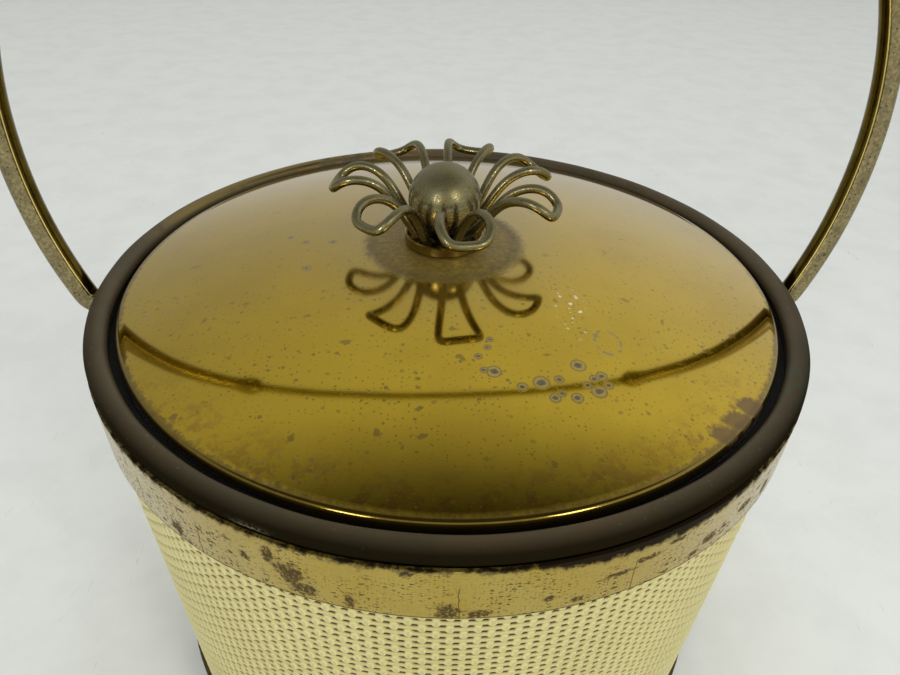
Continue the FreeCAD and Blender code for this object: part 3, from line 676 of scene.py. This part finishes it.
def woven_gold():
    """Pale gold on the pads, a painted highlight line round their edges, painted shade in brown and
    near black between them.
    """
    paint = Paint("woven_gold")
    x, y, z = paint.parts(paint.place)
    out = paint.vector("LENGTH", paint.joined(x, y, 0.0))
    face = paint.span(z, 0.0, BAND_BOTTOM, WRAP_RADIUS - WALL_SLOPE * BAND_BOTTOM, WRAP_RADIUS)
    stands = paint.maths("SUBTRACT", out, face)
    wide = paint.noise(30 * MM, 4.0, 0.6)
    fine = paint.noise(0.7 * MM, 4.0, 0.6)
    colour = paint.mix(paint.step(wide, 0.38, 0.64), WRAP_GOLD, WRAP_GOLD_DEEP)
    colour = paint.mix(paint.times(fine, 0.22), colour, WRAP_GRAIN)
    crown = paint.step(stands, PAD_RISE - 0.10 * MM, PAD_RISE)
    colour = paint.mix(paint.times(crown, 0.30), colour, WRAP_CROWN)
    # Painted highlight: a light line round each pad's edge.
    edge_highlight = paint.times(
        paint.step(stands, STRAND_RISE - 0.02 * MM, PAD_RISE - 0.12 * MM),
        paint.step(stands, PAD_RISE - 0.02 * MM, PAD_RISE - 0.12 * MM),
    )
    colour = paint.mix(paint.times(edge_highlight, 0.45), colour, WRAP_EDGE_HIGHLIGHT)
    # Painted shade: brown on the lower, deeper parts of the strands and strips, near black in the
    # recesses between them.
    recess_shade = paint.step(stands, STRAND_FOOT - 0.03 * MM, BACKING_DEPTH + 0.10 * MM)
    half_deep_shade = paint.step(stands, STRAND_RISE - 0.02 * MM, STRIP_DIP)
    colour = paint.mix(paint.times(half_deep_shade, 0.62), colour, WRAP_HALF_DEEP_SHADE)
    colour = paint.mix(recess_shade, colour, WRAP_RECESS_SHADE)
    paint.set(
        Base_Color=colour,
        Metallic=paint.blend(recess_shade, 0.42, 0.1),
        Roughness=paint.blend(half_deep_shade, 0.40, 0.24),
        Normal=paint.bump(fine, 0.02 * MM, 0.4),
        Coat_Weight=0.15,
        Coat_Roughness=0.25,
    )
    return paint.material


HOOP_CENTRE = (0.0, 7.3 * MM, 200 * MM)
HANDLE_BRIGHT = (0.13, 0.088, 0.012)
HANDLE_BRIGHT_DEEP = (0.08, 0.054, 0.008)
HANDLE_DULL = (0.19, 0.155, 0.075)
HANDLE_DULL_PALE = (0.36, 0.30, 0.14)
HANDLE_DULL_PATCH = (0.16, 0.13, 0.07)
# Pale gold of a painted highlight: a thin bright line along the handle.
HANDLE_PAINTED_HIGHLIGHT = (0.85, 0.68, 0.24)
HANDLE_PIT = (0.06, 0.045, 0.022)
HIGHLIGHT_LINE_PLACE = 0.68          # how far the surface there turns towards the hoop's middle, 0 to 1


def handle_brass():
    """Polished on the side towards the bucket, pitted and dull outside, with a painted highlight line
    between them.
    """
    paint = Paint("handle_brass")
    outward = paint.vector("NORMALIZE", paint.vector("SUBTRACT", paint.place, HOOP_CENTRE))
    side = paint.vector("DOT_PRODUCT", outward, paint.facing)
    fine = paint.noise(0.8 * MM, 6.0, 0.75)
    patches = paint.noise(6 * MM, 5.0, 0.65)
    uneven = paint.maths("ADD", side, paint.times(paint.span(fine, 0, 1, -1, 1), 0.10))
    outer = paint.step(uneven, -0.62, -0.52)
    bright = paint.mix(paint.step(patches, 0.4, 0.65), HANDLE_BRIGHT, HANDLE_BRIGHT_DEEP)
    pitted = paint.mix(paint.step(fine, 0.40, 0.62), HANDLE_DULL, HANDLE_DULL_PALE)
    patchy = paint.times(paint.step(patches, 0.45, 0.62), 0.5)
    pitted = paint.mix(patchy, pitted, HANDLE_DULL_PATCH)
    colour = paint.mix(outer, bright, pitted)
    # Painted highlight: a thin bright line where the polished side meets the pitted side.
    beside_highlight = paint.maths("ABSOLUTE", paint.maths("ADD", side, HIGHLIGHT_LINE_PLACE))
    highlight_line = paint.times(paint.step(beside_highlight, 0.05, 0.015), 0.9)
    colour = paint.mix(highlight_line, colour, HANDLE_PAINTED_HIGHLIGHT)
    large_pits = paint.times(paint.specks(2.4 * MM, 0.25, 0.30), 0.9)
    pits = paint.most(paint.specks(1.1 * MM, 0.45, 0.36), large_pits)
    pits = paint.times(pits, paint.blend(outer, 0.15, 1.0))
    colour = paint.mix(paint.times(pits, 0.8), colour, HANDLE_PIT)
    relief = paint.maths("SUBTRACT", paint.times(fine, 0.5), pits)
    paint.set(
        Base_Color=colour,
        Metallic=paint.blend(outer, 1.0, 0.8),
        Roughness=paint.blend(paint.most(outer, highlight_line), 0.14, 0.42),
        Normal=paint.bump(relief, 0.05 * MM, 0.5),
    )
    return paint.material


KNOB_BARE = (0.31, 0.27, 0.13)
KNOB_BARE_WARM = (0.27, 0.21, 0.070)
BALL_LOW_SIDE_LIGHT = (0.62, 0.54, 0.34)
KNOB_FILM = (0.130, 0.120, 0.065)
KNOB_RUST = (0.06, 0.042, 0.020)


def knob_plate():
    """Worn plating: grey-green film on top, warm brass low down with painted reflected light on the
    ball's lower side, fine dark pits.
    """
    paint = Paint("knob_plate")
    fine = paint.noise(0.55 * MM, 6.0, 0.75)
    patches = paint.noise(4.5 * MM, 5.0, 0.65)
    _, _, up = paint.parts(paint.facing)
    upward = paint.step(up, -0.1, 0.9)
    from_ball = paint.vector("DISTANCE", paint.place, (KNOB_X, 0.0, BALL_HEIGHT))
    on_ball = paint.step(from_ball, BALL_RADIUS + 0.4 * MM, BALL_RADIUS + 0.2 * MM)
    bare = paint.mix(paint.step(patches, 0.38, 0.62), KNOB_BARE, KNOB_BARE_WARM)
    # Painted reflected light: the ball's lower side is made paler.
    low_ball_light = paint.times(on_ball, paint.step(up, 0.25, -0.35))
    bare = paint.mix(paint.times(low_ball_light, 0.6), bare, BALL_LOW_SIDE_LIGHT)
    film = paint.step(paint.maths("ADD", fine, paint.times(upward, 0.16)), 0.48, 0.62)
    colour = paint.mix(paint.times(film, 0.75), bare, KNOB_FILM)
    rust = paint.times(paint.specks(1.0 * MM, 0.30, 0.32), paint.step(patches, 0.42, 0.6))
    colour = paint.mix(paint.times(rust, 0.8), colour, KNOB_RUST)
    paint.set(
        Base_Color=colour,
        Metallic=paint.blend(film, 1.0, 0.75),
        Roughness=paint.blend(film, 0.17, 0.42),
        Normal=paint.bump(paint.maths("SUBTRACT", fine, rust), 0.035 * MM, 0.45),
    )
    return paint.material


def plain_metal(name, base, dark, metallic, roughness, stretch=(1.0, 1.0, 1.0), grain=1.0 * MM):
    """Metal with soft patches, a fine grain and a few specks."""
    paint = Paint(name)
    patches = paint.noise(9 * MM, 4.0, 0.6)
    grains = paint.noise(grain, 4.0, 0.65, paint.stretched(*stretch))
    colour = paint.mix(paint.step(patches, 0.35, 0.7), base, dark)
    colour = paint.mix(paint.times(grains, 0.3), colour, dark)
    spots = paint.specks(2.4 * MM, 0.2, 0.22)
    colour = paint.mix(paint.times(spots, 0.6), colour, tuple(channel * 0.35 for channel in dark))
    paint.set(
        Base_Color=colour,
        Metallic=metallic,
        Roughness=paint.span(grains, 0.0, 1.0, roughness * 0.8, roughness * 1.25),
        Normal=paint.bump(grains, 0.02 * MM, 0.4),
    )
    return paint.material


def plain_solid(name, base, dark, roughness, grain, depth):
    """Rubber, plastic or foam with a fine grain."""
    paint = Paint(name)
    grains = paint.noise(grain, 5.0, 0.65)
    patches = paint.noise(12 * MM, 4.0, 0.6)
    colour = paint.mix(paint.step(grains, 0.3, 0.7), base, dark)
    colour = paint.mix(paint.times(paint.step(patches, 0.45, 0.7), 0.35), colour, dark)
    paint.set(
        Base_Color=colour,
        Roughness=paint.span(patches, 0.0, 1.0, roughness * 0.85, min(1.0, roughness * 1.15)),
        Normal=paint.bump(grains, depth, 0.6),
    )
    return paint.material


FLAT_GRAIN = (1, 1, 6.0)          # the liner's grain runs round it, in flat cells

# Parts that are hidden or small: pale colour, dark colour, metallic, roughness.
PLAIN_METALS = {
    "cup_brass": ((0.40, 0.29, 0.07), (0.16, 0.11, 0.03), 1.0, 0.2),
    "can_steel": ((0.34, 0.28, 0.17), (0.22, 0.17, 0.10), 0.9, 0.35),
    "liner_steel": ((0.60, 0.58, 0.54), (0.42, 0.40, 0.37), 1.0, 0.28, FLAT_GRAIN),
    "pan_steel": ((0.60, 0.58, 0.50), (0.40, 0.37, 0.30), 1.0, 0.3),
    "pin_steel": ((0.45, 0.44, 0.41), (0.25, 0.23, 0.20), 1.0, 0.32),
    "bush_brass": ((0.38, 0.28, 0.10), (0.18, 0.12, 0.05), 1.0, 0.3),
}
# Pale colour, dark colour, roughness, size and depth of the grain.
PLAIN_SOLIDS = {
    # The collar's near black makes the gap between the lid and the bead look dark: partly painted
    # shade.
    "collar_black": ((0.012, 0.011, 0.010), (0.006, 0.006, 0.005), 0.75, 0.8 * MM, 0.05 * MM),
    "foot_rubber": ((0.030, 0.029, 0.028), (0.016, 0.015, 0.015), 0.7, 0.7 * MM, 0.06 * MM),
    "foam": ((0.80, 0.76, 0.62), (0.62, 0.57, 0.44), 0.9, 1.5 * MM, 0.15 * MM),
}

LOOKS = {
    "lid_brass": lid_brass(),
    "band_brass": band_brass("band_brass", BAND_BOTTOM, BAND_TOP, BAND_BLOTCHES, BAND_CRACKS, True),
    "bead_bronze": bead_bronze(),
    "woven_wrap": woven_gold(),
    "handle_brass": handle_brass(),
    "knob_plate": knob_plate(),
}
for finish, numbers in PLAIN_METALS.items():
    LOOKS[finish] = plain_metal(finish, *numbers)
for finish, numbers in PLAIN_SOLIDS.items():
    LOOKS[finish] = plain_solid(finish, *numbers)

BASE_BRASS = band_brass(
    "base_band_brass", BASE_BAND_BOTTOM, BASE_BAND_TOP, BASE_BLOTCHES, BASE_CRACKS, False
)


def finish_of(node):
    """The record's material slot of a CAD node."""
    for part in frame["record"]["subparts"]:
        if part["node"] == node:
            return part["material_slot"]
    raise KeyError(node)


for node_name, node_object in frame["nodes"].items():
    look = LOOKS[finish_of(node_name)]
    node_object.data.materials.clear()
    node_object.data.materials.append(look)


# ------------------------------------------------------------------ bucket

def wrap_face(height):
    return WRAP_RADIUS - WALL_SLOPE * (BAND_BOTTOM - height)


def woven_height(strip_turn, height):
    """How far the woven face stands out from its nominal radius.

    strip_turn counts strips round the wrap, height is in metres.
    """
    turned_to = strip_turn - STRIP_SHIFT
    column = np.round(turned_to)
    across = (turned_to - column) * (2 * np.pi * WRAP_RADIUS / STRIP_COUNT)
    level = (height + STRAND_LIFT) / STRAND_PITCH
    parity = np.mod(column, 2)
    from_pad = (level - parity - 2 * np.round((level - parity) / 2)) * STRAND_PITCH
    oval = np.abs(across / PAD_HALF_WIDTH) ** 3.2 + np.abs(from_pad / PAD_HALF_HEIGHT) ** 3.6
    pad = BACKING_DEPTH + (PAD_RISE - BACKING_DEPTH) * np.clip(1 - oval, 0, 1) ** 0.25
    edge = np.clip(1 - np.abs(across / STRIP_HALF_WIDTH) ** 4, 0, 1)
    strip = BACKING_DEPTH + (STRIP_DIP - BACKING_DEPTH) * np.sqrt(edge)
    above_crest = level - np.floor(level)
    slope = np.clip((above_crest - SLIT_END) / (1 - SLIT_END), 0, 1)
    rising = STRAND_FOOT + (STRAND_RISE - STRAND_FOOT) * np.sin(slope * np.pi / 2)
    strand = np.where(above_crest < CREST_END, STRAND_RISE, rising)
    strand = np.where((above_crest >= CREST_END) & (above_crest < SLIT_END), BACKING_DEPTH, strand)
    return np.maximum(np.maximum(strip, strand), pad)


def weave_wrap():
    low = BASE_BAND_TOP - 2.0 * MM
    high = BAND_BOTTOM + 2.0 * MM
    levels = int((high - low) / STRAND_PITCH * SAMPLES_PER_STRAND)
    height = np.linspace(low, high, levels + 1)
    strips_each = STRIP_COUNT / WEAVE_SECTORS
    for sector in range(WEAVE_SECTORS):
        start = sector * strips_each
        count = int(round(strips_each * SAMPLES_PER_STRIP))
        strip_turn = np.linspace(start, start + strips_each, count + 1)
        turn, level = np.meshgrid(strip_turn, height)
        angle = turn * (2 * np.pi / STRIP_COUNT) - np.pi / 2
        radius = wrap_face(level) + woven_height(turn, level)
        face = np.stack([radius * np.cos(angle), radius * np.sin(angle), level], axis=-1)
        mesh = grid_mesh("weave_wrap_%d" % (sector + 1), face, sharp_angle=80.0)
        make_object(mesh.name, mesh, "bucket", LOOKS["woven_wrap"], ["weave_wrap"])


def rolled_bead():
    """Rolled rim bead with the slight unevenness of hand finishing."""
    turn = np.linspace(0, 2 * np.pi, BEAD_SECTION_STEPS, endpoint=False)
    across = RIM_RING_RADIUS + BEAD_RADIUS * np.cos(turn)
    up = RIM_HEIGHT + BEAD_RADIUS * np.sin(turn)
    draw = random.Random(BEAD_SEED)
    waves = []
    for _ in range(BEAD_WAVES):
        count = draw.randint(2, 23)
        phase = draw.uniform(0, 6.28)
        size = draw.uniform(0.01, 0.05) * MM
        waves.append((count, phase, size))

    def wobble(angle):
        return sum(size * np.sin(count * angle + phase) for count, phase, size in waves)

    outline = np.stack([across, up], axis=-1)
    mesh = turned("rolled_rim_bead", outline, wobble=wobble, steps=BEAD_RING_STEPS)
    make_object(mesh.name, mesh, "bucket", LOOKS["bead_bronze"], ["rim_bead"])


weave_wrap()
rolled_bead()
frame["nodes"]["base_band"].data.materials[0] = BASE_BRASS


# ------------------------------------------------------------------ lid

def dome_height(radius, below):
    """Height of the sphere through the lid's apex and edge, or of one this far below it."""
    sphere = (LID_RADIUS ** 2 + LID_EDGE_DROP ** 2) / (2 * LID_EDGE_DROP)
    return LID_APEX - sphere + math.sqrt((sphere - below) ** 2 - radius ** 2)


def lid_surface():
    """Closed outline of the dome: out over the top, round the corner, down the lip and back inside."""
    reach = LID_RADIUS - LID_CORNER_RADIUS
    corner_top = dome_height(reach, 0.0)
    outline = [(r, dome_height(r, 0.0)) for r in np.linspace(LID_HOLE_RADIUS, reach, LID_DOME_STEPS)]
    for step in range(1, LID_CORNER_STEPS + 1):
        t = step / LID_CORNER_STEPS * (math.pi / 2)
        radius = reach + LID_CORNER_RADIUS * math.sin(t)
        outline.append((radius, corner_top - LID_CORNER_RADIUS * (1 - math.cos(t))))
    inside = LID_RADIUS - LID_THICKNESS
    outline.append((LID_RADIUS, LID_LIP_BOTTOM + LID_LIP_BEVEL))
    outline.append((LID_RADIUS - LID_LIP_BEVEL, LID_LIP_BOTTOM))
    outline.append((inside + LID_LIP_BEVEL, LID_LIP_BOTTOM))
    outline.append((inside, LID_LIP_BOTTOM + LID_LIP_BEVEL))
    outline.append((inside, corner_top - LID_CORNER_RADIUS))
    back = np.linspace(LID_HOLE_RADIUS, reach - 0.3 * MM, LID_INSIDE_STEPS)
    outline += [(r, dome_height(r, LID_THICKNESS)) for r in reversed(back)]
    return outline


lid_mesh = turned("polished_lid", lid_surface(), steps=LID_RING_STEPS, sharp_angle=50.0)
make_object("polished_lid", lid_mesh, "lid", LOOKS["lid_brass"], ["lid_dome"])


# ------------------------------------------------------------------ stage, light and camera

FLOOR_RADIUS = 6.0
FLOOR_COLOUR = (0.76, 0.785, 0.750)


def floor_material():
    """Pale plaster with faint clouds, small chips and scratches."""
    paint = Paint("pale_floor")
    x, y, _ = paint.parts(paint.place)
    plane = paint.joined(x, y, 0.0)
    clouds = paint.noise(40 * MM, 5.0, 0.65)
    chips = paint.step(paint.noise(2.6 * MM, 6.0, 0.75), 0.62, 0.70)
    patchy = paint.step(paint.noise(60 * MM, 3.0), 0.44, 0.62)
    lengthways = paint.stretched(1.0, 0.25, 1.0, plane)
    scratches = paint.step(paint.noise(4 * MM, 3.0, 0.6, lengthways, 1.0), 0.66, 0.72)
    shade = tuple(channel * 0.95 for channel in FLOOR_COLOUR)
    mark = tuple(channel * 0.62 for channel in FLOOR_COLOUR)
    colour = paint.mix(paint.step(clouds, 0.4, 0.65), FLOOR_COLOUR, shade)
    colour = paint.mix(paint.times(paint.most(chips, scratches), patchy, 0.45), colour, mark)
    paint.set(Base_Color=colour, Roughness=0.65, Specular_IOR_Level=0.3)
    return paint.material


def studio_floor():
    """One wide pale disc; nothing stands behind the object."""
    turn = np.linspace(0, 2 * np.pi, 96, endpoint=False)
    edge = [(FLOOR_RADIUS * math.cos(t), FLOOR_RADIUS * math.sin(t), 0.0) for t in turn]
    mesh = bpy.data.meshes.new("studio_floor")
    mesh.from_pydata(edge, [], [list(range(len(edge)))])
    mesh.materials.append(floor_material())
    floor = bpy.data.objects.new("studio_floor", mesh)
    bpy.context.scene.collection.objects.link(floor)


def soft_lamp(name, place, aim, width, height, power, mirrored=True):
    data = bpy.data.lights.new(name, "AREA")
    data.shape = "RECTANGLE"
    data.size = width
    data.size_y = height
    data.energy = power
    lamp = bpy.data.objects.new(name, data)
    lamp.location = place
    lamp.rotation_euler = (Vector(aim) - Vector(place)).to_track_quat("-Z", "Y").to_euler()
    lamp.visible_glossy = mirrored
    bpy.context.scene.collection.objects.link(lamp)


class Sky:
    """Number nodes for the world, each method returning a socket."""

    def __init__(self, tree):
        self.tree = tree
        coordinates = tree.nodes.new("ShaderNodeTexCoord")
        split = tree.nodes.new("ShaderNodeSeparateXYZ")
        tree.links.new(coordinates.outputs["Generated"], split.inputs[0])
        self.x, self.y, self.z = split.outputs

    def maths(self, operation, first, second=0.0):
        node = self.tree.nodes.new("ShaderNodeMath")
        node.operation = operation
        for socket, value in zip(node.inputs, (first, second)):
            if isinstance(value, bpy.types.NodeSocket):
                self.tree.links.new(value, socket)
            else:
                socket.default_value = value
        return node.outputs[0]

    def step(self, value, low, high):
        node = self.tree.nodes.new("ShaderNodeMapRange")
        node.interpolation_type = "SMOOTHSTEP"
        self.tree.links.new(value, node.inputs["Value"])
        node.inputs["From Min"].default_value = low
        node.inputs["From Max"].default_value = high
        return node.outputs["Result"]


DARK_CEILING = 0.04
HORIZON = 0.60
HORIZON_HEIGHT = 0.25             # a direction's z; below it the level turns to the horizon's
LEAST_HEIGHT = 0.02
BEHIND_START = 0.18               # a direction's y over its z: where the bright part begins
BEHIND_END = 0.62
LOW_START = 0.7                   # a direction's level reach over its z, all round
LOW_END = 1.1
MIDDLE_LEVEL = 0.64
LEVEL_TO_THE_RIGHT = 0.27
LOW_SHARE = 0.88
SHARE_UPWARDS = 0.22
SKY_COLOUR = (1.0, 1.0, 0.985, 1.0)


def studio_world():
    """Pale walls all round and a bright ceiling behind the bucket; it is dark over the viewer."""
    world = bpy.data.worlds.new("studio")
    bpy.context.scene.world = world
    world.use_nodes = True
    tree = world.node_tree
    sky = Sky(tree)
    height = sky.maths("MAXIMUM", sky.z, LEAST_HEIGHT)
    behind = sky.step(sky.maths("DIVIDE", sky.y, height), BEHIND_START, BEHIND_END)
    level_x = sky.maths("MULTIPLY", sky.x, sky.x)
    level_y = sky.maths("MULTIPLY", sky.y, sky.y)
    reach = sky.maths("SQRT", sky.maths("ADD", level_x, level_y))
    low_down = sky.step(sky.maths("DIVIDE", reach, height), LOW_START, LOW_END)
    lit = sky.maths("MAXIMUM", behind, low_down)
    sideways = sky.maths("MULTIPLY", sky.x, LEVEL_TO_THE_RIGHT)
    upwards = sky.maths("MULTIPLY", sky.z, SHARE_UPWARDS)
    from_left = sky.maths("ADD", sideways, MIDDLE_LEVEL)
    from_low = sky.maths("ADD", upwards, LOW_SHARE)
    bright = sky.maths("MULTIPLY", from_left, from_low)
    spread = sky.maths("SUBTRACT", bright, DARK_CEILING)
    ceiling = sky.maths("ADD", sky.maths("MULTIPLY", lit, spread), DARK_CEILING)
    horizon = sky.step(sky.z, HORIZON_HEIGHT, 0.0)
    kept = sky.maths("MULTIPLY", ceiling, sky.maths("SUBTRACT", 1.0, horizon))
    level = sky.maths("ADD", kept, sky.maths("MULTIPLY", horizon, HORIZON))
    background = tree.nodes["Background"]
    background.inputs["Color"].default_value = SKY_COLOUR
    tree.links.new(level, background.inputs["Strength"])


CAMERA_PLACE = Vector((-11.8, -175.0, 261.4)) * MM
CAMERA_FORWARD = Vector((0.05765, 0.80624, -0.58878))
CAMERA_RIGHT = Vector((0.99830, -0.05175, 0.02689))
CAMERA_LENS = 27.2                # millimetres on a 36 mm sensor


def place_camera():
    data = bpy.data.cameras.new("camera")
    data.lens = CAMERA_LENS
    data.sensor_width = 36.0
    data.clip_start = 0.005
    camera = bpy.data.objects.new("camera", data)
    forward = CAMERA_FORWARD.normalized()
    right = (CAMERA_RIGHT - forward * CAMERA_RIGHT.dot(forward)).normalized()
    up = right.cross(forward)
    turn = Matrix((right, up, -forward)).transposed().to_4x4()
    camera.matrix_world = Matrix.Translation(CAMERA_PLACE) @ turn
    bpy.context.scene.collection.objects.link(camera)
    bpy.context.scene.camera = camera


KNOB_PLACE = (KNOB_X, 0.0, BALL_HEIGHT)
LAMP_WIDTH = 0.16
LAMP_HEIGHT = 0.26
LAMP_POWER = 1.6
OVERHEAD_PLACE = (0.0, 0.2, 2.6)
OVERHEAD_AIM = (0.0, 0.2, 0.0)
OVERHEAD_SIZE = 3.0
OVERHEAD_POWER = 38.0

studio_floor()
studio_world()
place_camera()
for side, lamp_place in (("left", (-0.416, -0.728, 0.51)), ("right", (0.44, -0.64, 0.61))):
    soft_lamp("lamp_" + side, lamp_place, KNOB_PLACE, LAMP_WIDTH, LAMP_HEIGHT, LAMP_POWER)
soft_lamp(
    "overhead", OVERHEAD_PLACE, OVERHEAD_AIM, OVERHEAD_SIZE, OVERHEAD_SIZE, OVERHEAD_POWER,
    mirrored=False,
)
bpy.context.scene.view_settings.view_transform = "Standard"
